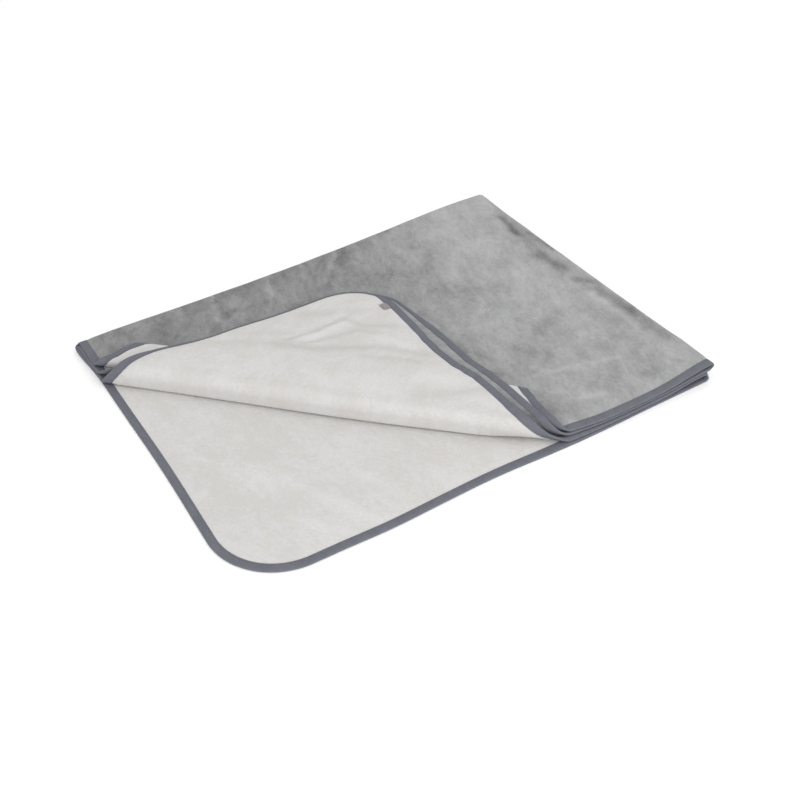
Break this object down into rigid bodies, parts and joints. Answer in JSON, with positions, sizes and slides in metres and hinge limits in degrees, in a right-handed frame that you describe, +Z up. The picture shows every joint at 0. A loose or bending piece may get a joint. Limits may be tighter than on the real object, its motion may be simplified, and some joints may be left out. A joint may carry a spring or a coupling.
{
  "type": "sherpa blanket",
  "caption": "Sherpa blanket folded in quarters, grey fleece outside and white sherpa inside, its upper corners turned back.",
  "frame": {"origin": "bottom centre of the folded blanket's box, on the surface that it lies on", "axes": "+X along the long side, away from the loose ends and towards the first fold; +Y from the open front edge to the second fold; +Z up"},
  "size_m": [1.0086, 0.7642, 0.0583],
  "materials": {
    "grey_fleece": "short brushed fleece",
    "white_sherpa": "matte curly sherpa pile",
    "edge_tape": "woven tape, sewn through",
    "label": "satin woven ribbon"
  },
  "bodies": {
    "root": {"grey_cloth": "grey_fleece", "white_cloth": "white_sherpa", "edge_tape": "edge_tape", "label": "label"}
  },
  "joints": []
}
